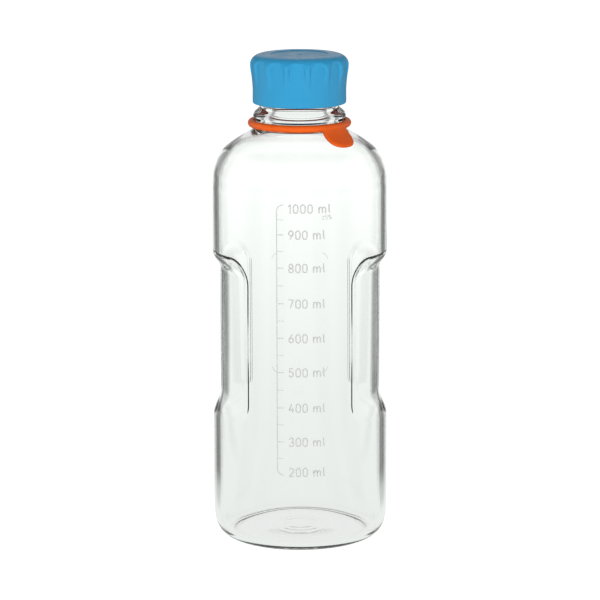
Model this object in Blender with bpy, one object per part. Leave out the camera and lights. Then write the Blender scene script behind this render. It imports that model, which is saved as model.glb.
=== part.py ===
"""One-litre laboratory screw-cap bottle: glass bottle, screw cap, sealing disc, pouring ring, neck tag.

Metres, +Z up, the standing face on z = 0, the bottle's axis on Z. The front is the -Y side, and phi is the angle
from the front, counter-clockwise seen from above. Every piece is a closed grid of rings around the axis.
"""

import math

import bpy
import numpy as np

MM = 0.001

# bottle, in mm
BODY_R = 46.0
WALL = 3.5
HEIGHT_GLASS = 249.6
BORE_R = 15.2
GRIP_DEPTH = 3.95
GRIP_HALF_ARC = 52.4
GRIP_TOP = 153.2
GRIP_CORNER = 14.0
GRIP_BOTTOM = 63.0
GRIP_RAMP = 16.5
GRIP_LEDGE = 5.0
GRIP_SCOOP = 32.0
GRIP_INSIDE_GROWTH = 1.0

# 45 mm screw finish, in mm
PITCH = 4.0
NECK_R = 20.0
THREAD_R = 22.3
THREAD_START = 236.0
THREAD_TURNS = 1.75

# cap, in mm
CAP_BOTTOM = 230.8
CAP_TOP = 256.15
CAP_BORE_R = 22.8
CAP_THREAD_R = 20.8
CAP_THREAD_START = 234.0
CAP_THREAD_TURNS = 2.2
FLUTES = 14
FLUTE_FLOOR_R = 24.35
FLUTE_TOP = 254.8
FLUTE_HALF = 4.75
FLUTE_OFFSET = 3.0

# tag, in mm
TAG_INNER_R = 23.6
TAG_PHI = 42.8
TAG_REACH = 13.6

# columns around the bottle, in degrees from the front, closer together where the grip steps in
QUARTER = [0, 7.5, 15, 22.5, 29.5, 35.5, 37.8, 40.2, 43.2, 47.5, 53.5, 60.5, 68.0, 75.5, 83.0]


def clear_scene():
    for obj in list(bpy.data.objects):
        bpy.data.objects.remove(obj)


def smoothstep(x):
    x = np.clip(x, 0.0, 1.0)
    return x * x * (3.0 - 2.0 * x)


def make_material(name, colour, roughness, transmission=0.0, alpha=1.0, ior=1.5):
    mat = bpy.data.materials.new(name)
    mat.use_nodes = True
    shader = mat.node_tree.nodes["Principled BSDF"]
    shader.inputs["Base Color"].default_value = (*colour, 1.0)
    shader.inputs["Roughness"].default_value = roughness
    shader.inputs["Transmission Weight"].default_value = transmission
    shader.inputs["Alpha"].default_value = alpha
    shader.inputs["IOR"].default_value = ior
    mat.diffuse_color = (*colour, alpha)
    return mat


def faces_between(rows, columns, wrap_rows):
    """Quads between neighbouring rings, each ring closed on itself."""
    faces = []
    last = rows if wrap_rows else rows - 1
    for i in range(last):
        for j in range(columns):
            here, there = i * columns, ((i + 1) % rows) * columns
            k = (j + 1) % columns
            faces.append((here + j, here + k, there + k, there + j))
    return faces


def signed_volume(points, faces):
    total = 0.0
    for face in faces:
        for a in range(1, len(face) - 1):
            p, q, r = points[face[0]], points[face[a]], points[face[a + 1]]
            total += float(np.dot(p, np.cross(q, r)))
    return total


def build_object(name, radii, heights, phis, mat, poles=(None, None)):
    """A closed body from rings. radii and heights are rows x columns in mm. poles are the heights of the centre
    points that close the first and last rings; without poles the last ring joins the first."""
    rows, columns = radii.shape
    x = radii * np.sin(phis)[None, :]
    y = -radii * np.cos(phis)[None, :]
    points = [np.array(p) for p in np.stack([x, y, heights], -1).reshape(-1, 3) * MM]
    wrap = poles[0] is None
    faces = faces_between(rows, columns, wrap)
    if not wrap:
        for ring, z in ((0, poles[0]), (rows - 1, poles[1])):
            centre = len(points)
            points.append(np.array((0.0, 0.0, z * MM)))
            for j in range(columns):
                a, b = ring * columns + j, ring * columns + (j + 1) % columns
                faces.append((centre, b, a) if ring == 0 else (centre, a, b))
    if signed_volume(points, faces) < 0:
        faces = [face[::-1] for face in faces]
    mesh = bpy.data.meshes.new(name)
    mesh.from_pydata([tuple(p) for p in points], [], faces)
    mesh.materials.append(mat)
    mesh.shade_smooth()
    mesh.set_sharp_from_angle(angle=math.radians(35.0))
    obj = bpy.data.objects.new(name, mesh)
    bpy.context.scene.collection.objects.link(obj)
    return obj


def even_columns(count):
    return np.arange(count) * 2.0 * math.pi / count


def bottle_columns():
    half = QUARTER + [90.0] + [180.0 - a for a in QUARTER[:0:-1]]
    return np.radians(half + [180.0 + a for a in half])


def grip(phi, z, grow=0.0):
    """How far the grip on each side steps in, in mm: a ledge under its arched top, a crease along its sides, a
    scoop that deepens towards its middle, and a slow ramp at the bottom."""
    side = np.abs(np.abs(np.angle(np.exp(1j * phi))) - math.pi / 2.0)
    across = side * BODY_R
    half = math.radians(GRIP_HALF_ARC) * BODY_R + grow
    dx = across - (half - GRIP_CORNER)
    dz = z - (GRIP_TOP + grow - GRIP_CORNER)
    outside = np.hypot(np.maximum(dx, 0.0), np.maximum(dz, 0.0))
    inside = np.minimum(np.maximum(dx, dz), 0.0)
    depth_in = GRIP_CORNER - (outside + inside)
    ledge = smoothstep(depth_in / GRIP_LEDGE)
    inward = np.clip((half - across) / GRIP_SCOOP, 0.0, 1.0)
    scoop = 0.7 * (1.0 - (1.0 - inward) ** 2) + 0.3 * smoothstep(inward)
    return GRIP_DEPTH * ledge * scoop * smoothstep((z - GRIP_BOTTOM) / GRIP_RAMP)


def helix_ridge(phi, z, start, turns):
    """0 to 1: the height of a rounded right-hand thread ridge that fades in and out at its ends."""
    level = (z - start) / PITCH - phi / (2.0 * math.pi)
    turn = np.round(level)
    shape = (0.5 + 0.5 * np.cos(2.0 * math.pi * (level - turn))) ** 1.25
    along = turn + phi / (2.0 * math.pi)
    return shape * smoothstep(along / 0.12 + 0.5) * smoothstep((turns - along) / 0.12 + 0.5)


def spread(knots):
    return np.array(knots, float).T


def bottle_outer():
    """(radius, height) down the outside, from under the base to the rim, as rows that follow the body."""
    base = [(14.0, 2.1), (26.0, 1.7), (34.0, 0.6), (36.0, 0.0), (38.5, 0.0)]
    heel = [(39.9, 0.45), (41.2, 1.2), (42.6, 2.5), (43.9, 4.4), (45.0, 7.4), (45.6, 12.4), (45.9, 19.0)]
    body = [(BODY_R, z) for z in (28, 48, 62.5, 66, 69.5, 73, 76.5, 80.5, 96, 118, 134, 139.5, 142.5, 145)]
    body += [(BODY_R, z) for z in (147.2, 149.2, 151.2, 153.4, 158, 170)]
    shoulder = [(BODY_R, 180.0), (45.95, 186.0), (45.75, 191.4), (44.9, 197.2), (42.7, 202.5), (39.4, 206.8)]
    shoulder += [(36.4, 209.0), (33.4, 211.2), (30.2, 213.3), (27.4, 215.0), (25.2, 216.3), (24.2, 217.2)]
    groove = [(23.1, 218.1), (23.0, 222.8), (23.7, 223.5)]
    bead = [(24.3, 224.4), (24.0, 225.5), (22.5, 226.8), (21.0, 227.9), (NECK_R, 229.4), (NECK_R, 233.4)]
    thread = [(NECK_R, z) for z in np.linspace(234.0, 245.4, 21)]
    rim = [(19.7, 246.6), (19.5, 248.4), (18.9, 249.3), (18.0, HEIGHT_GLASS)]
    return spread(base + heel + body + shoulder + groove + bead + thread + rim)


def bottle_inner():
    """(radius, height) down the inside, from the rim to the floor."""
    neck = [(16.4, HEIGHT_GLASS), (15.5, 249.2), (BORE_R, 248.2), (BORE_R, 231.0), (16.2, 225.6), (18.4, 220.6)]
    shoulder = [(21.6, 216.3), (26.4, 212.5), (31.6, 208.9), (36.2, 205.0), (39.6, 200.1), (41.8, 193.4)]
    inner_r = BODY_R - WALL
    body = [(42.35, 185.0), (inner_r, 174.0), (inner_r, 158.0), (inner_r, 154.0), (inner_r, 151.0)]
    body += [(inner_r, z) for z in (148.4, 145.6, 142.0, 136.0, 96.0, 81.0, 76.0, 71.0, 66.0, 60.0, 30.0)]
    floor = [(42.4, 16.0), (41.7, 10.6), (40.1, 7.0), (37.2, 4.6), (32.0, 3.9), (20.0, 4.6)]
    return spread(neck + shoulder + body + floor)


def build_bottle(mat):
    phis = bottle_columns()
    r_out, z_out = bottle_outer()
    r_in, z_in = bottle_inner()
    outer = r_out[:, None] - grip(phis[None, :], z_out[:, None])
    ridge = helix_ridge(phis[None, :], z_out[:, None], THREAD_START, THREAD_TURNS)
    on_neck = ((z_out > 233.5) & (z_out < 246.0))[:, None]
    outer = outer + np.where(on_neck, (THREAD_R - NECK_R) * ridge, 0.0)
    inner = r_in[:, None] - grip(phis[None, :], z_in[:, None], GRIP_INSIDE_GROWTH)
    radii = np.vstack([outer, inner])
    heights = np.concatenate([z_out, z_in])[:, None] + 0.0 * radii
    return build_object("glass_bottle", radii, heights, phis, mat, (2.1, 4.9))


def cap_outer_radius(z):
    knots = [(CAP_BOTTOM, 24.2), (231.3, 24.35), (237.6, 24.35), (240.6, 24.5), (244.6, 24.9), (248.0, 25.4)]
    knots += [(250.3, 25.66), (252.1, 25.5), (253.5, 25.0), (254.7, 24.2), (255.7, 23.2), (CAP_TOP, 22.3)]
    heights, radii = spread(knots)
    return np.interp(z, heights, radii)


def flute(phi, z):
    """0 to 1 across each flute, with a half-round top."""
    pitch = 2.0 * math.pi / FLUTES
    offset = math.radians(FLUTE_OFFSET)
    across = np.abs((phi + pitch / 2.0 + offset) % pitch - pitch / 2.0) * 25.0
    rise = np.maximum(z - (FLUTE_TOP - FLUTE_HALF), 0.0)
    return smoothstep((FLUTE_HALF - np.hypot(across, rise)) / 1.1)


def cap_columns():
    """Five columns to a flute: its two edges, where its wall meets its floor, and its middle."""
    middles = np.arange(FLUTES) * 2.0 * math.pi / FLUTES - math.radians(FLUTE_OFFSET)
    across = np.radians([-10.9, -8.5, 0.0, 8.5, 10.9])
    return np.sort((middles[:, None] + across[None, :]).ravel() % (2.0 * math.pi))


def build_cap(mat):
    phis = cap_columns()
    z_out = [CAP_BOTTOM, 231.3, 237.6, 240.6, 244.6, 248.0, 249.5, 250.8, 251.8, 252.7, 253.6, 254.7, 255.7, CAP_TOP]
    z_out = np.array(z_out)
    outer = cap_outer_radius(z_out)[:, None] + 0.0 * phis[None, :]
    floor = np.minimum(outer, FLUTE_FLOOR_R)
    outer = outer - (outer - floor) * flute(phis[None, :], z_out[:, None])
    top = np.array([21.4, 14.9, 14.4, 2.0])
    z_top = np.array([CAP_TOP, CAP_TOP, CAP_TOP - 0.35, CAP_TOP - 0.35])
    z_in = np.concatenate([[254.15, 253.7, 246.0], np.linspace(244.6, 232.4, 21), [231.7, CAP_BOTTOM]])
    r_in = np.concatenate([[21.8, 22.4, 22.6], np.full(21, CAP_BORE_R), [CAP_BORE_R, 23.1]])
    ridge = helix_ridge(phis[None, :], z_in[:, None], CAP_THREAD_START, CAP_THREAD_TURNS)
    on_thread = ((z_in > 232.3) & (z_in < 245.0))[:, None]
    inner = r_in[:, None] - np.where(on_thread, (CAP_BORE_R - CAP_THREAD_R) * ridge, 0.0)
    radii = np.vstack([inner, outer, top[:, None] + 0.0 * phis[None, :]])
    heights = np.concatenate([z_in, z_out, z_top])[:, None] + 0.0 * radii
    return build_object("screw_cap", radii, heights, phis, mat, (254.15, CAP_TOP - 0.35))


def revolve(name, outline, columns, mat, poles=(None, None)):
    phis = even_columns(columns)
    r, z = spread(outline)
    radii = r[:, None] + 0.0 * phis[None, :]
    return build_object(name, radii, z[:, None] + 0.0 * radii, phis, mat, poles)


def build_seal(mat):
    outline = [(15.0, 252.35), (21.4, 252.35), (21.7, 252.65), (21.7, 253.5), (21.4, 253.8), (15.0, 253.8)]
    return revolve("cap_seal", outline, 48, mat, (252.35, 253.8))


def build_pouring_ring(mat):
    outline = [(13.2, 242.0), (14.2, 242.0), (14.7, 243.0), (14.7, 248.6), (15.2, 249.9), (19.6, 249.95)]
    outline += [(20.1, 250.4), (20.1, 251.2), (19.4, 251.9), (17.6, 251.3), (15.0, 251.9), (13.9, 251.3)]
    outline += [(13.3, 249.6)]
    return revolve("pouring_ring", outline, 48, mat)


def tag_reach(phi):
    """How far the tab stretches out from the ring at phi, in mm: a rounded lobe with filleted roots."""
    across = np.abs(np.degrees(np.angle(np.exp(1j * (phi - math.radians(TAG_PHI))))))
    lobe = np.sqrt(np.clip(1.0 - (across / 16.2) ** 2.6, 0.0, 1.0))
    root = smoothstep((23.0 - across) / 11.0)
    return TAG_REACH * np.maximum(0.72 * lobe + 0.28 * np.sqrt(lobe), 0.0) * 0.94 + 0.9 * root


def tag_columns():
    """Columns that crowd together over the tab."""
    even = np.linspace(0.0, 1.0, 72, endpoint=False)
    centre = TAG_PHI / 360.0
    near = np.linspace(centre - 0.062, centre + 0.062, 27)
    far = [a for a in even if abs(a - centre) > 0.066]
    return np.sort(np.concatenate([near, far])) * 2.0 * math.pi


def build_tag(mat):
    phis = tag_columns()
    reach = tag_reach(phis)
    middle = [(25.9, 219.5), (27.3, 217.9), (29.3, 216.2), (31.9, 214.3), (34.5, 212.5), (36.9, 210.9)]
    path_r, path_z = spread(middle)
    along = np.concatenate([[0.0], np.cumsum(np.hypot(np.diff(path_r), np.diff(path_z)))])
    radii, heights = [], []

    def ring(r, z):
        radii.append(r + 0.0 * phis)
        heights.append(z + 0.0 * phis)

    def tab_ring(share, offset):
        at = reach * share
        lean = math.radians(52.0)
        radii.append(np.interp(at, along, path_r) + offset * math.sin(math.pi / 2 - lean))
        heights.append(np.interp(at, along, path_z) + offset * math.sin(lean))

    for r, z in ((24.5, 218.6), (TAG_INNER_R, 219.1), (TAG_INNER_R, 221.6), (24.2, 222.2), (25.3, 222.2)):
        ring(r, z)
    for r, z in ((26.4, 221.7), (26.97, 220.9), (26.97, 220.2)):
        ring(r, z)
    for share, offset in ((0.25, 0.9), (0.55, 0.9), (0.85, 0.9), (0.97, 0.6), (1.0, 0.0), (0.97, -0.6)):
        tab_ring(share, offset)
    for share, offset in ((0.85, -0.9), (0.5, -0.9), (0.15, -0.9)):
        tab_ring(share, offset)
    return build_object("bottle_tag", np.array(radii), np.array(heights), phis, mat)


def main():
    clear_scene()
    glass = make_material("borosilicate_glass", (0.93, 0.97, 0.95), 0.02, 1.0, 0.35, 1.47)
    cap = make_material("cap_plastic", (0.05, 0.36, 0.62), 0.38)
    seal = make_material("seal_plastic", (0.85, 0.85, 0.82), 0.5)
    ring = make_material("ring_plastic", (0.06, 0.40, 0.66), 0.4)
    tag = make_material("tag_silicone", (0.83, 0.15, 0.02), 0.5)
    build_bottle(glass)
    build_cap(cap)
    build_seal(seal)
    build_pouring_ring(ring)
    build_tag(tag)


main()
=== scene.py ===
"""A one-litre laboratory screw-cap bottle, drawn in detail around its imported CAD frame.

Metres, +Z up, the bottle's axis on Z and its printed front towards -Y. phi is the angle from the front,
counter-clockwise seen from above. Sizes in the tables below are in millimetres unless they say otherwise.
"""

import math

import bpy
import numpy as np
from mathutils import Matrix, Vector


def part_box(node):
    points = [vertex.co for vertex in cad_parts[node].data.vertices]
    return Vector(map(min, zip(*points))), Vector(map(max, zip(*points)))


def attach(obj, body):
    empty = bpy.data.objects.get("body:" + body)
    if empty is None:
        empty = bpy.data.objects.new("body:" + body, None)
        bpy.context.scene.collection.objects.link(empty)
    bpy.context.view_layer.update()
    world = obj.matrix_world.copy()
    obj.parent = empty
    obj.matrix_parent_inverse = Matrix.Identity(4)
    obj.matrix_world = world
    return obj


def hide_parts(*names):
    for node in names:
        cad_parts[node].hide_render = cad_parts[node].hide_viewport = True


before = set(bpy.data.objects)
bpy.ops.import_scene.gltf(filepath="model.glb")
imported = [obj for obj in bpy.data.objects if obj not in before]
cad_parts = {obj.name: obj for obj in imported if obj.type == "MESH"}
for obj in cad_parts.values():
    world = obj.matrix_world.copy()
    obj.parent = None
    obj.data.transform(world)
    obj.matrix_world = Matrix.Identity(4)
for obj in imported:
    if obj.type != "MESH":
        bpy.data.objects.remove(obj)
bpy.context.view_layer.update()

MM = 0.001
TAU = 2.0 * math.pi

# ---------------------------------------------------------------- sizes read from the frame

GLASS_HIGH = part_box("glass_bottle")[1]
CAP_LOW, CAP_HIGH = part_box("screw_cap")
TAG_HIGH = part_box("bottle_tag")[1]
SEAL_LOW, SEAL_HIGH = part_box("cap_seal")
RING_LOW, RING_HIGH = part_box("pouring_ring")

PRINT_ROOM = 0.05
BODY_R = GLASS_HIGH.x / MM - PRINT_ROOM
RIM_Z = GLASS_HIGH.z / MM
CAP_BOTTOM = CAP_LOW.z / MM
CAP_TOP = CAP_HIGH.z / MM
TAG_TOP = TAG_HIGH.z / MM

# glass, in mm, with the grip's half width in degrees
WALL = 3.5
UNEVEN = 0.1
GRIP_DEPTH = 3.95
GRIP_HALF_ARC = 52.2
GRIP_TOP = 153.2
GRIP_CORNER = 14.0
GRIP_BOTTOM = 62.5
GRIP_RAMP = 17.0

# 45 mm screw finish, in mm
PITCH = 4.0
NECK_R = 20.0
THREAD_R = 22.3
THREAD_START = 236.0
THREAD_TURNS = 1.75

# middle of the base, under and over, in mm
UNDERSIDE_MIDDLE = 1.9
FLOOR_MIDDLE = 4.85


# ---------------------------------------------------------------- small helpers


def smoothstep(x):
    """0 to 1 with level ends."""
    x = np.clip(x, 0.0, 1.0)
    return x * x * (3.0 - 2.0 * x)


def smootherstep(x):
    """0 to 1 with level, uncurved ends."""
    x = np.clip(x, 0.0, 1.0)
    return x * x * x * (x * (6.0 * x - 15.0) + 10.0)


def smooth_path(knots, step):
    """Points along a centripetal Catmull-Rom curve through the knots, at most about step apart.
    A repeated knot makes a corner."""
    runs, run = [], [knots[0]]
    for a, b in zip(knots, knots[1:]):
        if a == b:
            runs.append(run)
            run = [b]
        else:
            run.append(b)
    runs.append(run)
    out = []
    for run in runs:
        p = np.array(run, float)
        if len(p) == 1:
            continue
        p = np.vstack([2 * p[0] - p[1], p, 2 * p[-1] - p[-2]])
        for i in range(1, len(p) - 2):
            length = np.hypot(*(p[i + 1] - p[i]))
            count = max(2, int(math.ceil(length / step)))
            knot = [0.0]
            for a, b in zip(p[i - 1 : i + 2], p[i : i + 3]):
                knot.append(knot[-1] + max(np.hypot(*(b - a)), 1e-9) ** 0.5)
            for t in np.linspace(knot[1], knot[2], count + 1)[:-1]:
                out.append(catmull_rom(p[i - 1 : i + 3], knot, t))
        out.append(p[-2])
    return np.array(out)


def catmull_rom(p, k, t):
    """The point at t between the middle two of four points p with knot values k."""
    a1 = (k[1] - t) / (k[1] - k[0]) * p[0] + (t - k[0]) / (k[1] - k[0]) * p[1]
    a2 = (k[2] - t) / (k[2] - k[1]) * p[1] + (t - k[1]) / (k[2] - k[1]) * p[2]
    a3 = (k[3] - t) / (k[3] - k[2]) * p[2] + (t - k[2]) / (k[3] - k[2]) * p[3]
    b1 = (k[2] - t) / (k[2] - k[0]) * a1 + (t - k[0]) / (k[2] - k[0]) * a2
    b2 = (k[3] - t) / (k[3] - k[1]) * a2 + (t - k[1]) / (k[3] - k[1]) * a3
    return (k[2] - t) / (k[2] - k[1]) * b1 + (t - k[1]) / (k[2] - k[1]) * b2


def ring_mesh(name, radii, heights, phis, mat, poles=(None, None), sharp=None):
    """A closed body from rings in mm, rows x columns. poles close the first and last rings at the axis."""
    rows, cols = radii.shape
    heights = heights + 0.0 * radii
    points = np.stack([radii * np.sin(phis), -radii * np.cos(phis), heights], -1).reshape(-1, 3) * MM
    wrap = poles[0] is None
    i = np.arange(rows if wrap else rows - 1)[:, None]
    j = np.arange(cols)[None, :]
    k = (j + 1) % cols
    below, above = i * cols, ((i + 1) % rows) * cols
    quads = np.stack([below + j, below + k, above + k, above + j], -1).reshape(-1, 4)
    tris = np.zeros((0, 3), int)
    if not wrap:
        ends = np.array([[0, 0, poles[0] * MM], [0, 0, poles[1] * MM]])
        first, last = len(points), len(points) + 1
        points = np.vstack([points, ends])
        ring = np.arange(cols)
        after = (ring + 1) % cols
        base = (rows - 1) * cols
        tris = np.vstack(
            [
                np.stack([np.full(cols, first), after, ring], -1),
                np.stack([np.full(cols, last), base + ring, base + after], -1),
            ]
        )
    volume = quad_volume(points, quads)
    if volume < 0:
        quads, tris = quads[:, ::-1], tris[:, ::-1]
    mesh = bpy.data.meshes.new(name)
    mesh.vertices.add(len(points))
    mesh.vertices.foreach_set("co", points.ravel())
    loops = np.concatenate([quads.ravel(), tris.ravel()])
    mesh.loops.add(len(loops))
    mesh.loops.foreach_set("vertex_index", loops)
    sizes = np.concatenate([np.full(len(quads), 4), np.full(len(tris), 3)])
    mesh.polygons.add(len(sizes))
    mesh.polygons.foreach_set("loop_start", np.concatenate([[0], np.cumsum(sizes)[:-1]]))
    mesh.update(calc_edges=True)
    mesh.shade_smooth()
    if sharp:
        mesh.set_sharp_from_angle(angle=math.radians(sharp))
    mesh.materials.append(mat)
    mesh.validate()
    obj = bpy.data.objects.new(name, mesh)
    bpy.context.scene.collection.objects.link(obj)
    return obj


def quad_volume(points, quads):
    """Six times the signed volume between the quads and the origin. Its sign tells which way they look."""
    a, b, c, d = (points[quads[:, n]] for n in range(4))
    return np.einsum("ij,ij->i", a, np.cross(b, c) + np.cross(c, d)).sum()


def revolve(name, knots, columns, mat, step, poles=(None, None)):
    """A body of revolution from (radius, height) knots."""
    path = smooth_path(knots, step)
    phis = np.arange(columns) * TAU / columns
    radii = path[:, :1] + 0.0 * phis[None, :]
    return ring_mesh(name, radii, path[:, 1:], phis, mat, poles)


# ---------------------------------------------------------------- materials


class Nodes:
    """A few lines of help for building a node tree."""

    def __init__(self, name):
        self.mat = bpy.data.materials.new(name)
        self.mat.use_nodes = True
        self.tree = self.mat.node_tree
        self.shader = self.tree.nodes["Principled BSDF"]
        self.out = self.tree.nodes["Material Output"]
        self.coords = self.add("ShaderNodeTexCoord").outputs["Object"]

    def add(self, kind, **inputs):
        node = self.tree.nodes.new(kind)
        for key, value in inputs.items():
            node.inputs[key.replace("_", " ")].default_value = value
        return node

    def link(self, a, b):
        self.tree.links.new(a, b)

    def noise(self, scale, detail=2.0, roughness=0.5, stretch=(1, 1, 1)):
        mapping = self.add("ShaderNodeMapping")
        mapping.inputs["Scale"].default_value = stretch
        self.link(self.coords, mapping.inputs["Vector"])
        node = self.add("ShaderNodeTexNoise", Scale=scale, Detail=detail, Roughness=roughness)
        self.link(mapping.outputs["Vector"], node.inputs["Vector"])
        return node.outputs["Fac"]

    def ramp(self, source, low, high, start=0.3, end=0.7):
        node = self.add("ShaderNodeMapRange")
        for key, value in (("From Min", start), ("From Max", end), ("To Min", low), ("To Max", high)):
            node.inputs[key].default_value = value
        self.link(source, node.inputs["Value"])
        return node.outputs["Result"]

    def mix_colour(self, source, low, high, start=0.3, end=0.7):
        node = self.add("ShaderNodeMix")
        node.data_type = "RGBA"
        self.link(self.ramp(source, 0.0, 1.0, start, end), node.inputs["Factor"])
        for socket in node.inputs:
            if socket.type == "RGBA" and socket.name == "A":
                socket.default_value = (*low, 1.0)
            if socket.type == "RGBA" and socket.name == "B":
                socket.default_value = (*high, 1.0)
        return [s for s in node.outputs if s.type == "RGBA"][0]

    def bump(self, source, distance, strength=1.0, below=None):
        node = self.add("ShaderNodeBump", Strength=strength, Distance=distance)
        self.link(source, node.inputs["Height"])
        if below is not None:
            self.link(below, node.inputs["Normal"])
        return node.outputs["Normal"]


def glass_material():
    """Borosilicate glass: faint haze and slow unevenness, and a green cast that grows with its thickness."""
    n = Nodes("clear_glass")
    s = n.shader.inputs
    s["Base Color"].default_value = (1.0, 1.0, 1.0, 1.0)
    s["IOR"].default_value = 1.474
    s["Transmission Weight"].default_value = 1.0
    s["Specular Tint"].default_value = (0.4, 0.4, 0.4, 1.0)
    n.link(n.ramp(n.noise(55.0, 3.0), 0.0, 0.012, 0.45, 0.8), s["Roughness"])
    slow = n.noise(14.0, 2.0, 0.5, (1, 1, 0.35))
    n.link(n.bump(slow, 0.00018, 0.6), s["Normal"])
    volume = n.add("ShaderNodeVolumeAbsorption", Density=5.0)
    volume.inputs["Color"].default_value = (0.62, 0.86, 0.74, 1.0)
    n.link(volume.outputs["Volume"], n.out.inputs["Volume"])
    return n.mat


CAP_SPECULAR = 0.22
SMOOTHER_TOP = 0.28


def moulded_plastic(name, dark, light, roughness, smooth_above):
    """Moulded polypropylene: faint flow marks and a matt spark-eroded grain, with smoother, glossier
    plastic above a height in mm."""
    n = Nodes(name)
    s = n.shader.inputs
    n.link(n.mix_colour(n.noise(24.0, 3.0, 0.6, (1, 1, 0.4)), dark, light), s["Base Color"])
    split = n.add("ShaderNodeSeparateXYZ")
    n.link(n.coords, split.inputs[0])
    gloss = n.ramp(split.outputs["Z"], 0.0, 1.0, smooth_above * MM, (smooth_above + 1.2) * MM)
    matt = n.ramp(n.noise(180.0, 2.0), roughness - 0.05, roughness + 0.07)
    blend = n.add("ShaderNodeMath")
    blend.operation = "MULTIPLY_ADD"
    n.link(gloss, blend.inputs[0])
    blend.inputs[1].default_value = -SMOOTHER_TOP
    n.link(matt, blend.inputs[2])
    n.link(blend.outputs[0], s["Roughness"])
    grain = n.bump(n.noise(5200.0, 2.0), 0.00003, 0.5)
    n.link(n.bump(n.noise(90.0, 2.0), 0.0001, 0.35, grain), s["Normal"])
    s["IOR"].default_value = 1.49
    s["Specular IOR Level"].default_value = CAP_SPECULAR
    s["Subsurface Weight"].default_value = 0.12
    s["Subsurface Radius"].default_value = (0.4, 0.7, 1.0)
    s["Subsurface Scale"].default_value = 0.002
    return n.mat


def silicone_material():
    """Orange silicone rubber: satin, slightly see-through, with dust in its skin."""
    n = Nodes("orange_silicone")
    s = n.shader.inputs
    n.link(n.mix_colour(n.noise(60.0, 3.0, 0.6), (0.52, 0.066, 0.003), (0.59, 0.09, 0.006)), s["Base Color"])
    n.link(n.ramp(n.noise(240.0, 2.0), 0.42, 0.56), s["Roughness"])
    dust = n.bump(n.noise(3600.0, 3.0), 0.00004, 0.5)
    n.link(n.bump(n.noise(120.0, 2.0), 0.00015, 0.4, dust), s["Normal"])
    s["IOR"].default_value = 1.41
    s["Subsurface Weight"].default_value = 0.15
    s["Subsurface Radius"].default_value = (1.0, 0.35, 0.15)
    s["Subsurface Scale"].default_value = 0.002
    s["Specular IOR Level"].default_value = 0.25
    return n.mat


def seal_material():
    """Off-white sealing liner with a fine moulded grain."""
    n = Nodes("seal_disc")
    s = n.shader.inputs
    n.link(n.mix_colour(n.noise(80.0, 3.0), (0.78, 0.78, 0.74), (0.86, 0.86, 0.82)), s["Base Color"])
    n.link(n.ramp(n.noise(300.0), 0.4, 0.55), s["Roughness"])
    n.link(n.bump(n.noise(900.0), 0.00003, 0.5), s["Normal"])
    return n.mat


def enamel_material(name, shade):
    """Fired enamel print: matt, slightly uneven where the screen laid it down."""
    n = Nodes(name)
    s = n.shader.inputs
    low = tuple(c * 0.94 for c in shade)
    n.link(n.mix_colour(n.noise(1600.0, 3.0, 0.6), low, shade), s["Base Color"])
    n.link(n.ramp(n.noise(2200.0), 0.5, 0.7), s["Roughness"])
    n.link(n.bump(n.noise(2600.0), 0.00002, 0.5), s["Normal"])
    return n.mat


GLASS = glass_material()
CAP_BLUE = moulded_plastic("cap_blue", (0.015, 0.196, 0.364), (0.02, 0.218, 0.398), 0.6, 254.6)
RING_BLUE = moulded_plastic("pouring_ring_blue", (0.018, 0.21, 0.39), (0.024, 0.235, 0.43), 0.5, 251.0)
SILICONE = silicone_material()
SEAL = seal_material()
PRINT = enamel_material("print_enamel", (0.36, 0.365, 0.365))
BACK_PRINT = enamel_material("back_enamel", (0.97, 0.98, 0.97))


# ---------------------------------------------------------------- glass bottle

# the ledge's width over the arched top and along the sides, and the scoop's width
STEP_TOP = 9.0
STEP_SIDE = 4.0
SCOOP = 32.0
# how much wider the grip is inside the glass, and its depth there as a share of the depth outside
INSIDE_WIDER = 0.6
INSIDE_SHARE = 0.94
# degrees by which the back edge of each grip stands closer to its middle than the front edge
BACK_SHIFT = 1.2
# share of the scoop's curve that starts steeply at the crease, where the rest starts level
EDGE_FRONT = 0.3
EDGE_BACK = 0.95
# depth of the crease around the grip: low and high on the front edge, what its foot adds, and the back edge
LIP_LOW = 0.22
LIP_HIGH = 0.78
LIP_FOOT = 0.3
LIP_BACK = 0.65
LIP_WIDTH = 1.25
# the lower corners turn in over a radius of HOOK_R, down to HOOK_Z
HOOK_Z = 67.5
HOOK_R = 9.0


def crease_depth(phi, z, front):
    """Depth of the crease, which fades out towards the middle of each side."""
    on_front = LIP_LOW + (LIP_HIGH - LIP_LOW) * smoothstep((z - 112.0) / 36.0)
    on_front = on_front + LIP_FOOT * smoothstep((104.0 - z) / 16.0)
    on_back = LIP_BACK * smoothstep((147.0 - z) / 9.0)
    return np.where(front, on_front, on_back) * smoothstep(np.abs(np.cos(phi)) / 0.35)


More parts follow.
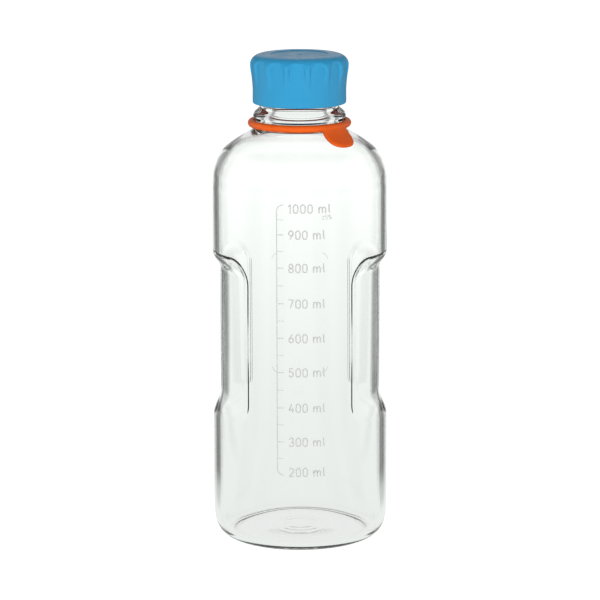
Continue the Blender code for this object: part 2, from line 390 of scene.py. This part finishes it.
def grip(phi, z, wider=0.0):
    """How far the grip on each side steps in: a ledge under its arched top, a soft crease along its sides,
    a scoop that deepens from the crease to the middle, and a slow ramp at the bottom."""
    side = np.abs(np.abs(np.angle(np.exp(1j * phi))) - math.pi / 2.0)
    across = side * BODY_R
    rounding = np.clip((HOOK_Z + HOOK_R - z) / HOOK_R, 0.0, 0.999)
    front = np.cos(phi) > 0.0
    half_arc = np.where(front, GRIP_HALF_ARC, GRIP_HALF_ARC - BACK_SHIFT)
    half = np.radians(half_arc) * BODY_R + wider - HOOK_R * (1.0 - np.sqrt(1.0 - rounding * rounding))
    dx = across - (half - GRIP_CORNER)
    dz = z - (GRIP_TOP + wider - GRIP_CORNER)
    outside = np.hypot(np.maximum(dx, 0.0), np.maximum(dz, 0.0))
    inside = np.minimum(np.maximum(dx, dz), 0.0)
    depth_in = GRIP_CORNER - (outside + inside)
    upward = smoothstep(np.arctan2(np.maximum(dz, 0.0), np.maximum(dx, 0.01)) / (math.pi / 2.0)) ** 2
    ledge = smootherstep(depth_in / (STEP_SIDE + (STEP_TOP - STEP_SIDE) * upward))
    inward = np.clip((half - across) / SCOOP, 0.0, 1.0)
    edge = np.where(front, EDGE_FRONT, EDGE_BACK)
    scoop = edge * (1.0 - (1.0 - inward) ** 2) + (1.0 - edge) * smoothstep(inward)
    lip_depth = crease_depth(phi, z, front)
    lip = lip_depth * smootherstep(depth_in / LIP_WIDTH)
    ramp = smootherstep((z - GRIP_BOTTOM) / GRIP_RAMP)
    return (lip + (GRIP_DEPTH - lip_depth) * ledge * scoop) * ramp


def helix_ridge(phi, z, start, turns):
    """0 to 1: the height of a rounded right-hand thread ridge that fades in and out at its ends."""
    level = (z - start) / PITCH - phi / TAU
    turn = np.round(level)
    shape = (0.5 + 0.5 * np.cos(TAU * (level - turn))) ** 1.25
    along = turn + phi / TAU
    return shape * smoothstep(along / 0.12 + 0.5) * smoothstep((turns - along) / 0.12 + 0.5)


def bottle_outline():
    """(radius, height) knots up the outside, from under the base to the rim."""
    base = [(12.0, 1.8), (22.0, 1.55), (30.0, 0.95), (34.0, 0.38), (36.2, 0.05), (37.6, 0.0), (38.8, 0.08)]
    heel = [(40.0, 0.5), (41.2, 1.2), (42.4, 2.3), (43.5, 3.7), (44.4, 5.4), (45.05, 7.4), (45.5, 10.0)]
    heel += [(45.8, 14.5), (BODY_R, 21.0)]
    body = [(BODY_R, 38.0), (BODY_R, 60.0), (BODY_R, 110.0), (BODY_R, 150.0), (BODY_R, 172.0)]
    shoulder = [(BODY_R, 180.0), (45.9, 186.0), (45.75, 191.0), (44.95, 196.7), (42.8, 202.5), (41.2, 205.0)]
    shoulder += [(39.2, 207.05), (36.6, 209.15), (33.6, 211.3), (30.2, 213.4), (27.5, 215.1)]
    shoulder += [(25.3, 216.4), (24.2, 217.3)]
    groove = [(23.3, 218.0), (23.0, 219.0), (23.0, 221.6), (23.5, 222.6)]
    bead = [(24.05, 223.4), (24.25, 224.2), (24.0, 225.3), (23.2, 226.5), (22.0, 227.5), (20.9, 228.5)]
    bead += [(20.2, 229.7)]
    neck = [(NECK_R, 231.2), (NECK_R, 233.2), (NECK_R, 246.2)]
    rim = [(19.7, 247.2), (19.5, 248.4), (18.9, 249.3), (17.6, RIM_Z)]
    return base + heel + body + shoulder + groove + bead + neck + rim


def bottle_inline():
    """(radius, height) knots down the inside, from the rim to the rippled middle of the floor."""
    neck = [(17.6, RIM_Z), (16.2, 249.45), (15.4, 248.8), (15.2, 247.4), (15.2, 240.0), (15.2, 232.0)]
    neck += [(15.5, 226.8), (16.4, 222.0), (18.2, 218.2)]
    shoulder = [(21.6, 215.4), (26.4, 212.8), (31.6, 209.4), (36.2, 205.1), (39.6, 200.2), (41.7, 194.0)]
    inner = BODY_R - WALL
    body = [(42.25, 187.0), (inner - 0.05, 177.0), (inner, 168.0), (inner, 150.0), (inner, 90.0)]
    body += [(inner, 26.0)]
    floor = [(42.4, 13.0), (42.0, 8.2), (40.9, 5.4), (38.8, 3.75), (36.0, 3.1), (32.0, 3.4), (27.0, 3.95)]
    floor += [(20.0, 4.45)]
    ripples = [(14.5, 4.7), (12.8, 4.82), (11.4, 4.66), (9.8, 4.86), (8.2, 4.74), (5.0, 4.85)]
    return neck + shoulder + body + floor + ripples


def glass_columns(count):
    """Columns around the bottle, closer together where the grips step in."""
    grid = np.linspace(0.0, TAU, 7201)
    side = np.abs(np.abs(np.angle(np.exp(1j * grid))) - math.pi / 2.0)
    edge = np.exp(-(((side - math.radians(GRIP_HALF_ARC - 3.0)) / math.radians(5.5)) ** 2))
    density = 1.0 + 1.6 * edge
    share = np.concatenate([[0.0], np.cumsum((density[1:] + density[:-1]) / 2.0)])
    return np.interp(np.arange(count) / count, share / share[-1], grid)


def denser_rows(path):
    """Keep every row where the grip's ledge runs, and every third one elsewhere."""
    on_ledge = (path[:, 1] > 134.0) & (path[:, 1] < 157.0)
    kept = np.arange(len(path)) % 3 == 0
    kept[-1] = True
    return path[on_ledge | kept]


def wander(phi, z, seed, turns, rise):
    """A slow, smooth unevenness such as blown glass has, from a few fixed waves."""
    total = 0.0 * phi + 0.0 * z
    for k in range(5):
        around = 1 + (k * 2 + seed) % turns
        up = rise * (0.6 + 0.37 * k)
        total = total + np.cos(around * phi + 1.7 * k + seed) * np.cos(z * up + 0.9 * k * seed)
    return total / 5.0


def build_bottle():
    """Outer and inner skin in one closed body, with the grips on both and the thread outside."""
    phis = glass_columns(384)
    outer_path = denser_rows(smooth_path(bottle_outline(), 0.4))
    inner_path = denser_rows(smooth_path(bottle_inline(), 0.45))
    r_out, z_out = outer_path[:, :1], outer_path[:, 1:]
    on_neck = (z_out > 233.0) & (z_out < 246.8)
    outer = r_out - grip(phis[None, :], z_out)
    ridge = helix_ridge(phis[None, :], z_out, THREAD_START, THREAD_TURNS)
    outer = outer + np.where(on_neck, (THREAD_R - NECK_R) * ridge, 0.0)
    r_in, z_in = inner_path[:, :1], inner_path[:, 1:]
    waist = smoothstep((z_in - 8.0) / 30.0) * smoothstep((214.0 - z_in) / 20.0)
    inner = r_in - INSIDE_SHARE * grip(phis[None, :], z_in, INSIDE_WIDER)
    inner = inner + UNEVEN * waist * wander(phis[None, :], z_in, 3, 7, 0.021)
    radii = np.vstack([outer, inner])
    heights = np.vstack([z_out, z_in])
    obj = ring_mesh("bottle_glass", radii, heights, phis, GLASS, (UNDERSIDE_MIDDLE, FLOOR_MIDDLE))
    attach(obj, "bottle")
    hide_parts("glass_bottle")


# ---------------------------------------------------------------- cap, seal, pouring ring

FLUTES = 14
FLUTE_FLOOR_R = 24.35
FLUTE_TOP = 254.8
FLUTE_HALF = 4.75
FLUTE_OFFSET = 3.0
CAP_THREAD_DEPTH = 2.0
CAP_THREAD_START = 234.0
CAP_THREAD_TURNS = 2.2
LID_UNDERSIDE = 254.15
LID_SUNK = 0.42


def flute(phi, z):
    """0 to 1 across each flute, with a half-round top. FLUTE_OFFSET is in degrees."""
    pitch = TAU / FLUTES
    offset = math.radians(FLUTE_OFFSET)
    across = np.abs((phi + pitch / 2.0 + offset) % pitch - pitch / 2.0) * 25.0
    rise = np.maximum(z - (FLUTE_TOP - FLUTE_HALF), 0.0)
    return smootherstep(FLUTE_HALF - np.hypot(across, rise))


def build_cap():
    """Fluted shell with an internal thread and a sunk top that has a small gate mark in the middle."""
    skirt = [(23.4, CAP_BOTTOM), (24.0, CAP_BOTTOM), (24.25, 231.0), (24.35, 231.4), (24.35, 237.6)]
    skirt += [(24.5, 240.6), (24.9, 244.6), (25.4, 248.0), (25.62, 250.3), (25.5, 251.9), (25.0, 253.2)]
    skirt += [(24.15, 254.3), (23.1, 255.15), (22.0, 255.7), (20.8, 256.0), (19.4, CAP_TOP)]
    sunk = CAP_TOP - LID_SUNK
    top = [(19.4, CAP_TOP), (17.4, CAP_TOP), (15.4, CAP_TOP), (15.1, CAP_TOP - 0.12), (14.9, sunk + 0.04)]
    top += [(14.4, sunk), (8.0, sunk), (1.9, sunk), (1.5, sunk - 0.08), (1.2, sunk - 0.2)]
    top += [(0.75, sunk - 0.18), (0.5, sunk)]
    inside = [(3.0, LID_UNDERSIDE), (21.2, LID_UNDERSIDE), (21.9, 254.0), (22.35, 253.5), (22.6, 252.0)]
    inside += [(22.6, 246.0), (22.8, 244.8), (22.8, 232.0), (22.9, 231.3), (23.1, CAP_BOTTOM)]
    columns = FLUTES * 22
    phis = np.arange(columns) * TAU / columns
    wall_in = smooth_path(inside, 0.42)
    wall_out = smooth_path(skirt, 0.5)
    lid = smooth_path(top, 0.6)[1:]
    r_in, z_in = wall_in[:, :1], wall_in[:, 1:]
    ridge = helix_ridge(phis[None, :], z_in, CAP_THREAD_START, CAP_THREAD_TURNS)
    on_thread = (z_in > 232.0) & (z_in < 245.4)
    inner = r_in - np.where(on_thread, CAP_THREAD_DEPTH * ridge, 0.0)
    r_out, z_out = wall_out[:, :1], wall_out[:, 1:]
    outer = r_out - np.maximum(r_out - FLUTE_FLOOR_R, 0.0) * flute(phis[None, :], z_out)
    radii = np.vstack([inner, outer, lid[:, :1] + 0.0 * phis[None, :]])
    heights = np.minimum(np.vstack([z_in, z_out, lid[:, 1:]]), CAP_TOP)
    obj = ring_mesh("cap_shell", radii, heights, phis, CAP_BLUE, (LID_UNDERSIDE, CAP_TOP - 0.4), 50.0)
    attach(obj, "cap")
    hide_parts("screw_cap")


def build_seal():
    """A flat disc with soft edges."""
    low, high = SEAL_LOW.z / MM, SEAL_HIGH.z / MM
    edge = SEAL_HIGH.x / MM
    knots = [(0.5, low), (12.0, low), (edge - 0.5, low), (edge - 0.1, low + 0.1), (edge, low + 0.45)]
    knots += [(edge, high - 0.45), (edge - 0.1, high - 0.1), (edge - 0.5, high), (12.0, high), (0.5, high)]
    obj = revolve("sealing_disc", knots, 160, SEAL, 0.5, (low, high))
    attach(obj, "seal")
    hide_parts("cap_seal")


def build_pouring_ring():
    """A sleeve in the neck with a drip edge that lies on the rim."""
    low, high = RING_LOW.z / MM, RING_HIGH.z / MM
    knots = [(13.5, low), (14.1, low + 0.05), (14.6, low + 0.9), (14.7, low + 2.0), (14.7, 248.4)]
    knots += [(14.9, 249.5), (15.6, 249.93), (19.3, 249.97), (19.95, 250.2), (20.1, 250.8)]
    knots += [(19.95, 251.5), (19.3, high)]
    knots += [(18.4, high - 0.3), (17.4, high - 0.75), (16.2, high - 0.45), (15.2, high - 0.05)]
    knots += [(14.5, high - 0.15), (13.9, high - 0.8), (13.35, high - 2.4), (13.2, 246.0), (13.2, low + 0.4)]
    obj = revolve("drip_ring", knots, 200, RING_BLUE, 0.4)
    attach(obj, "bottle")
    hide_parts("pouring_ring")


# ---------------------------------------------------------------- silicone tag

# the tab's direction, half width and lean are in degrees, its reach and the height of its root in mm
TAG_PHI = 42.8
TAG_HALF = 16.2
TAB_LEAN = 52.0
TAG_REACH = 13.9
ROOT_Z = 220.9
ROOT_FILLET = 0.9


def tag_reach(phi):
    """How far the tab stretches out from the ring at phi, in mm: a rounded lobe with filleted roots."""
    across = np.abs(np.degrees(np.angle(np.exp(1j * (phi - math.radians(TAG_PHI))))))
    lobe = np.sqrt(np.clip(1.0 - (across / TAG_HALF) ** 2.6, 0.0, 1.0))
    root = smoothstep((23.0 - across) / 11.0)
    return TAG_REACH * (0.72 * lobe + 0.28 * np.sqrt(lobe)) * 0.94 + ROOT_FILLET * root


def tag_columns():
    """Columns around the tag, closer together over the tab and its edges."""
    grid = np.linspace(0.0, 360.0, 7201)
    across = np.abs((grid - TAG_PHI + 180.0) % 360.0 - 180.0)
    density = 1.0 + 7.0 * np.exp(-((across - 15.0) / 3.0) ** 2) + 2.0 * np.exp(-((across / 14.0) ** 4))
    share = np.concatenate([[0.0], np.cumsum((density[1:] + density[:-1]) / 2.0)])
    return np.radians(np.interp(np.arange(420) / 420.0, share / share[-1], grid))


def build_tag():
    """A ring whose rows widen into the tab on one side: first the band's inside, top and outside, then around
    the tab's section, and back under the ring."""
    phis = tag_columns()
    reach = tag_reach(phis)
    middle = [(25.9, 220.6), (27.4, 218.6), (29.3, 216.6), (31.9, 214.5), (34.5, 212.6), (37.2, 210.7)]
    path = smooth_path(middle, 0.3)
    along = np.concatenate([[0.0], np.cumsum(np.hypot(*np.diff(path, axis=0).T))])
    lean = math.radians(TAB_LEAN)
    radii, heights = [], []
    top = TAG_TOP
    band = [(24.5, 218.55), (23.9, 218.7), (23.6, 219.2), (23.6, 220.4), (23.6, top - 0.8), (23.8, top - 0.3)]
    band += [(24.3, top), (25.2, top - 0.05), (26.0, top - 0.3), (26.6, top - 0.8), (26.9, top - 1.4)]
    band += [(26.97, 220.3), (26.95, 219.9)]
    on_tab = smoothstep(reach / 2.0)
    for r, z in smooth_path(band, 0.35):
        on_outside = r > 26.0
        raised = max(z, ROOT_Z + 0.15 * (z - ROOT_Z)) if on_outside else z
        radii.append(r + 0.0 * phis)
        heights.append(z + (raised - z) * on_tab)
    # around the tab's section: share of its reach, and distance from its middle surface in mm
    around = [(0.15, 0.92), (0.3, 0.92), (0.45, 0.92), (0.6, 0.92), (0.75, 0.92), (0.86, 0.9), (0.92, 0.82)]
    around += [(0.965, 0.66), (0.99, 0.38), (1.0, 0.0), (0.99, -0.38), (0.965, -0.66), (0.92, -0.82)]
    around += [(0.86, -0.9), (0.7, -0.92), (0.5, -0.92), (0.3, -0.92), (0.12, -0.92)]
    corner = smooth_path([(26.9, 219.8), (26.7, 219.3), (26.25, 218.8), (25.6, 218.55), (24.9, 218.5)], 0.05)
    for n, (share, offset) in enumerate(around):
        at = reach * share
        r, z = corner[int((n + 1) / (len(around) + 1) * (len(corner) - 1))]
        tab_r = np.interp(at, along, path[:, 0]) + offset * math.cos(lean)
        tab_z = np.interp(at, along, path[:, 1]) + offset * math.sin(lean)
        radii.append(r + (tab_r - r) * on_tab)
        heights.append(z + (tab_z - z) * on_tab)
    obj = ring_mesh("tag_silicone_ring", np.array(radii), np.array(heights), phis, SILICONE)
    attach(obj, "tag")
    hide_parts("bottle_tag")


# ---------------------------------------------------------------- printed scale

# the print lies between these radii, in mm
PRINT_UNDER = BODY_R + 0.005
PRINT_OVER = BODY_R + 0.035
# stroke widths and letter height, in mm
STROKE = 0.72
LINE_STROKE = 0.52
TICK_STROKE = 0.46
HALF_TICK_STROKE = 0.32
SMALL_STROKE = 0.3
CORNER_STROKE = 0.16
LETTER = 4.35
SMALL_LETTER = 2.3
# how much narrower the digits are than the letters, and the room a space takes as a share of the height
DIGIT_NARROW = 0.86
SPACE = 0.47
# places across the glass, in mm from the middle of the front: the long line, the ticks' ends and the text
LINE_U = -11.95
TICK_U = -8.5
TEXT_U = -5.65
SMALL_TEXT_U = 11.4
# height of each mark, in mm
MARKS = {
    1000: 184.6,
    900: 169.1,
    800: 151.8,
    700: 133.2,
    600: 115.0,
    500: 97.0,
    400: 78.2,
    300: 60.1,
    200: 42.4,
}


def arc(cx, cy, rx, ry, start, end, count=10):
    """Points along part of an ellipse, with angles in degrees counter-clockwise from the right."""
    turn = [math.radians(start + (end - start) * i / count) for i in range(count + 1)]
    return [(cx + rx * math.cos(a), cy + ry * math.sin(a)) for a in turn]


def letter_shapes():
    """Strokes of each character in a box one unit high, and its width. + stands for the plus-minus sign."""
    o = arc(0.3, 0.7, 0.3, 0.3, 0, 180) + arc(0.3, 0.3, 0.3, 0.3, 180, 360) + [(0.6, 0.7)]
    shapes = {"0": ([o], 0.6), "1": ([[(0.0, 0.8), (0.24, 1.0), (0.24, 0.0)]], 0.3)}
    two = arc(0.3, 0.7, 0.3, 0.3, 165, -20) + [(0.02, 0.02), (0.02, 0.0), (0.6, 0.0)]
    shapes["2"] = ([two], 0.6)
    three = arc(0.28, 0.74, 0.28, 0.26, 150, -90) + arc(0.28, 0.24, 0.31, 0.25, 90, -155)
    shapes["3"] = ([three], 0.6)
    shapes["4"] = ([[(0.34, 1.0), (0.0, 0.28), (0.62, 0.28)], [(0.46, 0.52), (0.46, 0.0)]], 0.6)
    five = [(0.55, 1.0), (0.07, 1.0), (0.04, 0.55)] + arc(0.28, 0.32, 0.3, 0.32, 115, -150)
    shapes["5"] = ([five], 0.6)
    six = arc(0.3, 0.3, 0.3, 0.3, 0, 360, 18)
    shapes["6"] = ([six, [(0.44, 1.0), (0.06, 0.48)]], 0.6)
    shapes["7"] = ([[(0.0, 1.0), (0.58, 1.0), (0.2, 0.0)]], 0.6)
    eight = arc(0.3, 0.75, 0.26, 0.25, 0, 360, 18)
    shapes["8"] = ([eight, arc(0.3, 0.25, 0.3, 0.26, 0, 360, 18)], 0.6)
    nine = arc(0.3, 0.7, 0.3, 0.3, 0, 360, 18)
    shapes["9"] = ([nine, [(0.54, 0.52), (0.16, 0.0)]], 0.6)
    hump = [(0.0, 0.0), (0.0, 0.66)]
    first = [(0.0, 0.42)] + arc(0.2, 0.46, 0.2, 0.2, 170, 0) + [(0.4, 0.0)]
    second = [(0.4, 0.42)] + arc(0.6, 0.46, 0.2, 0.2, 170, 0) + [(0.8, 0.0)]
    shapes["m"] = ([hump, first, second], 0.8)
    shapes["l"] = ([[(0.1, 1.0), (0.1, 0.16), (0.2, 0.02)]], 0.2)
    plus_minus = [[(0.0, 0.6), (0.56, 0.6)], [(0.28, 0.88), (0.28, 0.32)], [(0.0, 0.08), (0.56, 0.08)]]
    shapes["+"] = (plus_minus, 0.6)
    ring_a, ring_b = arc(0.16, 0.78, 0.16, 0.2, 0, 360, 14), arc(0.66, 0.22, 0.16, 0.2, 0, 360, 14)
    shapes["%"] = ([ring_a, ring_b, [(0.62, 1.0), (0.2, 0.0)]], 0.84)
    return shapes


SHAPES = letter_shapes()


def write(text, u, v, height, gap):
    """Strokes of a line of text, in mm across and up the glass, with its lower left corner at (u, v).
    gap is the room between letters as a share of the height."""
    strokes, at = [], 0.0
    for letter in text:
        if letter == " ":
            at += SPACE
            continue
        lines, width = SHAPES[letter]
        narrow = DIGIT_NARROW if letter.isdigit() else 1.0
        for line in lines:
            strokes.append([(u + (at + x * narrow) * height, v + y * height) for x, y in line])
        at += width * narrow + gap
    return strokes


def scale_strokes():
    """(stroke, width) pairs of the scale: its long line with hooked ends, ticks and numbers."""
    top, bottom = MARKS[1000], MARKS[200]
    hook = 3.3
    line = [(TICK_U, top)] + arc(LINE_U + hook, top - hook, hook, hook, 90, 180)
    line += arc(LINE_U + hook, bottom + hook, hook, hook, 180, 270) + [(TICK_U, bottom)]
    strokes = [(line, LINE_STROKE)]
    levels = sorted(MARKS, reverse=True)
    for ml in levels[1:-1]:
        strokes.append(([(LINE_U, MARKS[ml]), (TICK_U, MARKS[ml])], TICK_STROKE))
    for a, b in zip(levels, levels[1:]):
        middle = (MARKS[a] + MARKS[b]) / 2.0
        strokes.append(([(LINE_U, middle), (TICK_U, middle)], HALF_TICK_STROKE))
    for ml in levels:
        # the top and bottom numbers stand inside the ends of the line
        shift = {1000: -2.0, 200: 1.6}.get(ml, 0.0)
        start, gap = (TEXT_U - 0.1, 0.33) if ml == 1000 else (TEXT_U, 0.3)
        low = MARKS[ml] + shift - LETTER / 2.0
        strokes += [(s, STROKE) for s in write(f"{ml} ml", start, low, LETTER, gap)]
    strokes += [(s, SMALL_STROKE) for s in write("+5%", SMALL_TEXT_U, MARKS[1000] - 7.7, SMALL_LETTER, 0.2)]
    return strokes


def back_strokes():
    """The four corners of the writing field, on the far side of the glass."""
    half, low, high = 16.2, 76.9, 142.6
    bend = 3.4
    out = []
    for sx in (-1, 1):
        for z, sz in ((low, -1), (high, 1)):
            cx, cz = sx * (half - bend), z - sz * bend
            out.append((arc(cx, cz, sx * bend, sz * bend, 5.0, 85.0), CORNER_STROKE))
    return out


def resample(points, step):
    """The same broken line with extra points, at most about step apart."""
    p = np.array(points, float)
    seg = np.hypot(*np.diff(p, axis=0).T)
    along = np.concatenate([[0.0], np.cumsum(seg)])
    count = max(2, int(math.ceil(along[-1] / step)) + 1)
    at = np.unique(np.concatenate([np.linspace(0.0, along[-1], count), along]))
    at = at[np.concatenate([[True], np.diff(at) > 1e-4])]
    return np.stack([np.interp(at, along, p[:, 0]), np.interp(at, along, p[:, 1])], -1)


def ribbon(points, width):
    """Left and right edges, middle and direction along a stroke, in mm on the unrolled glass."""
    p = resample(points, 0.5)
    tangent = np.gradient(p, axis=0)
    tangent /= np.maximum(np.hypot(*tangent.T), 1e-9)[:, None]
    normal = np.stack([-tangent[:, 1], tangent[:, 0]], -1)
    half = width / 2.0
    return p + normal * half, p - normal * half, p, tangent


def print_mesh(name, strokes, turn, mat, body):
    """Thin raised enamel on the glass: each stroke is a low closed strip wrapped around the bottle."""
    points, faces = [], []

    def wrap(u, v, r):
        phi = u / BODY_R + turn
        return (r * math.sin(phi) * MM, -r * math.cos(phi) * MM, v * MM)

    for stroke, width in strokes:
        left, right, middle, tangent = ribbon(stroke, width)
        ends = [(middle[0] - tangent[0] * width * 0.35), (middle[-1] + tangent[-1] * width * 0.35)]
        rows = [(ends[0] + (left[0] - middle[0]) * 0.45, ends[0] + (right[0] - middle[0]) * 0.45)]
        rows += list(zip(left, right))
        rows += [(ends[1] + (left[-1] - middle[-1]) * 0.45, ends[1] + (right[-1] - middle[-1]) * 0.45)]
        base = len(points)
        for a, b in rows:
            points += [wrap(*a, PRINT_UNDER), wrap(*b, PRINT_UNDER)]
            points += [wrap(*b, PRINT_OVER), wrap(*a, PRINT_OVER)]
        for i in range(len(rows) - 1):
            here, there = base + 4 * i, base + 4 * (i + 1)
            for k in range(4):
                n = (k + 1) % 4
                faces.append((here + k, here + n, there + n, there + k))
        last = base + 4 * (len(rows) - 1)
        faces += [(base, base + 3, base + 2, base + 1), (last, last + 1, last + 2, last + 3)]
    mesh = bpy.data.meshes.new(name)
    mesh.from_pydata(points, [], faces)
    mesh.materials.append(mat)
    mesh.validate()
    obj = bpy.data.objects.new(name, mesh)
    bpy.context.scene.collection.objects.link(obj)
    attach(obj, body)


# ---------------------------------------------------------------- studio

STAGE_SIDE = 60.0
FLOOR_GLOW = 0.9
SOFTBOX_PLACE = (-0.12, -1.6, 0.4)
SOFTBOX_TARGET = (0.0, 0.0, 0.2)
SOFTBOX_SIDE = 1.0
SOFTBOX_POWER = 30.0
# the table card's brightness near the bottle and how much more it has far away, in a faint green-white
# painted shade: the card glows less near the bottle, standing in for the table's shade around it
CARD_SHADED_GLOW = 0.855
CARD_FAR_GLOW = 0.24
CARD_COLOUR = (0.972, 1.0, 0.976, 1.0)
# how far the table's dark cards stay off the middle line, in m
CARD_MARGIN = 0.05
# the dark cards fade in between these distances from the bottle's axis, in m
CARD_NEAR, CARD_FAR = 0.07, 0.16
# how much darker the sky is overhead and between which heights of view it darkens, and the cards' share there
DOME_DARK = 0.3
DOME_START, DOME_END = 0.35, 0.75
SKY_FLAGS = 0.7
# each pair of cards: where it starts, is full, starts to fade and ends, in degrees from straight behind,
# and how dark it is
FLAGS = [
    (12.5, 24.5, 37.0, 45.0, 0.82),
    (96.0, 108.0, 126.0, 134.0, 0.6),
    (136.0, 146.0, 158.5, 170.5, 0.4),
]

# the camera, in metres and degrees, and its lens in mm
CAM_DISTANCE = 1.5495
CAM_HEIGHT = 0.45467
CAM_PITCH = 11.989
CAM_ROLL = -0.13
CAM_X = 0.00005
CAM_LENS = 180.2


def shader_nodes(tree):
    """Empties a node tree and gives back two short ways to add nodes to it."""
    tree.nodes.clear()

    def add(kind, **values):
        node = tree.nodes.new(kind)
        for key, value in values.items():
            setattr(node, key, value)
        return node

    def math_node(operation, a, b=None, clamp=False):
        node = add("ShaderNodeMath", operation=operation, use_clamp=clamp)
        for slot, value in zip(node.inputs, (a, b)):
            if value is None:
                continue
            if isinstance(value, (int, float)):
                slot.default_value = value
            else:
                tree.links.new(value, slot)
        return node.outputs[0]

    return add, math_node


def step_between(math_node, value, low, high):
    """0 below low, 1 above high, smooth between."""
    x = math_node("DIVIDE", math_node("SUBTRACT", value, low), high - low, True)
    rest = math_node("SUBTRACT", 3.0, math_node("MULTIPLY", x, 2.0))
    return math_node("MULTIPLY", math_node("MULTIPLY", x, x), rest)


def flags(math_node, x, y, margin):
    """How dark the cards of FLAGS are towards x, y. They stand in pairs, left and right, and margin keeps
    them off the middle line."""
    past = math_node("MAXIMUM", math_node("SUBTRACT", math_node("ABSOLUTE", x), margin), 0.0)
    angle = math_node("ARCTAN2", past, y)
    total = 0.0
    for start, full, fade, end, weight in FLAGS:
        rise = step_between(math_node, angle, math.radians(start), math.radians(full))
        fall = step_between(math_node, angle, math.radians(fade), math.radians(end))
        band = math_node("MULTIPLY", math_node("MULTIPLY", rise, math_node("SUBTRACT", 1.0, fall)), weight)
        total = math_node("ADD", band, total)
    return total


def flat_square(name, side, z, mat):
    h = side / 2.0
    mesh = bpy.data.meshes.new(name)
    mesh.from_pydata([(-h, -h, z), (h, -h, z), (h, h, z), (-h, h, z)], [], [(0, 1, 2, 3)])
    mesh.materials.append(mat)
    obj = bpy.data.objects.new(name, mesh)
    bpy.context.scene.collection.objects.link(obj)
    return obj


def floor_material():
    mat = bpy.data.materials.new("pale_floor")
    mat.use_nodes = True
    s = mat.node_tree.nodes["Principled BSDF"].inputs
    s["Base Color"].default_value = (0.35, 0.35, 0.35, 1.0)
    s["Roughness"].default_value = 0.9
    s["Specular IOR Level"].default_value = 0.0
    s["Emission Color"].default_value = (1.0, 1.0, 1.0, 1.0)
    s["Emission Strength"].default_value = FLOOR_GLOW
    return mat


def card_material():
    """What the glass sees of the lit table: a glowing card with painted shade near the bottle, paler far
    away, with the dark cards of FLAGS.
    """
    mat = bpy.data.materials.new("table_card")
    mat.use_nodes = True
    tree = mat.node_tree
    add, m = shader_nodes(tree)
    place = add("ShaderNodeSeparateXYZ")
    tree.links.new(add("ShaderNodeTexCoord").outputs["Object"], place.inputs[0])
    x, y = place.outputs[0], place.outputs[1]
    reach = m("SQRT", m("ADD", m("MULTIPLY", x, x), m("MULTIPLY", y, y)))
    # painted shade: the glow is lowest near the bottle and rises far away, as if the table were shaded around
    # the bottle
    glow = m("ADD", CARD_SHADED_GLOW, m("MULTIPLY", step_between(m, reach, -0.1, 1.5), CARD_FAR_GLOW))
    dark = m("MULTIPLY", flags(m, x, y, CARD_MARGIN), step_between(m, reach, CARD_NEAR, CARD_FAR))
    level = m("MULTIPLY", glow, m("SUBTRACT", 1.0, dark))
    emit = add("ShaderNodeEmission")
    emit.inputs["Color"].default_value = CARD_COLOUR
    tree.links.new(level, emit.inputs["Strength"])
    out = add("ShaderNodeOutputMaterial")
    tree.links.new(emit.outputs[0], out.inputs["Surface"])
    return mat


def build_world():
    """A white sky with the dark cards of FLAGS, darker overhead."""
    world = bpy.data.worlds.new("studio")
    world.use_nodes = True
    bpy.context.scene.world = world
    tree = world.node_tree
    add, m = shader_nodes(tree)
    place = add("ShaderNodeSeparateXYZ")
    tree.links.new(add("ShaderNodeTexCoord").outputs["Generated"], place.inputs[0])
    x, y, z = place.outputs
    dark = flags(m, x, y, 0.0)
    level = m("SUBTRACT", 1.0, m("MULTIPLY", dark, SKY_FLAGS))
    level = m("SUBTRACT", level, m("MULTIPLY", step_between(m, z, DOME_START, DOME_END), DOME_DARK))
    back = add("ShaderNodeBackground")
    tree.links.new(level, back.inputs["Strength"])
    out = add("ShaderNodeOutputWorld")
    tree.links.new(back.outputs[0], out.inputs["Surface"])


def area_light(name, place, target, side, power):
    """A square soft light at place that looks at target, and that no reflection or glass shows."""
    data = bpy.data.lights.new(name, "AREA")
    data.size = side
    data.energy = power
    obj = bpy.data.objects.new(name, data)
    bpy.context.scene.collection.objects.link(obj)
    obj.location = place
    direction = np.array(target) - np.array(place)
    yaw = math.atan2(-direction[0], direction[1])
    pitch = math.atan2(math.hypot(direction[0], direction[1]), -direction[2])
    obj.rotation_euler = (pitch, 0.0, yaw)
    obj.visible_transmission = False
    obj.visible_glossy = False


def build_studio():
    """A glowing white floor that the camera sees, a glowing card just above it, with painted shade around the
    bottle, that only reflections and glass show, the sky and one soft light."""
    flat_square("studio_floor", STAGE_SIDE, -0.0004, floor_material())
    card = flat_square("table_card", STAGE_SIDE, -0.0002, card_material())
    card.visible_camera = False
    card.visible_diffuse = False
    card.visible_shadow = False
    card.visible_volume_scatter = False
    build_world()
    area_light("front_softbox", SOFTBOX_PLACE, SOFTBOX_TARGET, SOFTBOX_SIDE, SOFTBOX_POWER)


def build_camera():
    data = bpy.data.cameras.new("camera")
    data.lens = CAM_LENS
    data.sensor_width = 36.0
    data.clip_end = 100.0
    obj = bpy.data.objects.new("camera", data)
    bpy.context.scene.collection.objects.link(obj)
    obj.location = (CAM_X, -CAM_DISTANCE, CAM_HEIGHT)
    obj.rotation_mode = "ZYX"
    obj.rotation_euler = (math.radians(90.0 - CAM_PITCH), 0.0, math.radians(CAM_ROLL))
    bpy.context.scene.camera = obj


def render_settings():
    scene = bpy.context.scene
    scene.view_settings.view_transform = "Standard"
    scene.cycles.max_bounces = 24
    scene.cycles.transmission_bounces = 24
    scene.cycles.glossy_bounces = 8
    scene.cycles.transparent_max_bounces = 24
    scene.cycles.caustics_reflective = True
    scene.cycles.caustics_refractive = True


build_camera()
build_studio()
render_settings()
build_bottle()
build_cap()
build_seal()
build_pouring_ring()
build_tag()
print_mesh("scale_print", scale_strokes(), 0.0, PRINT, "bottle")
print_mesh("label_corners", back_strokes(), math.pi, BACK_PRINT, "bottle")
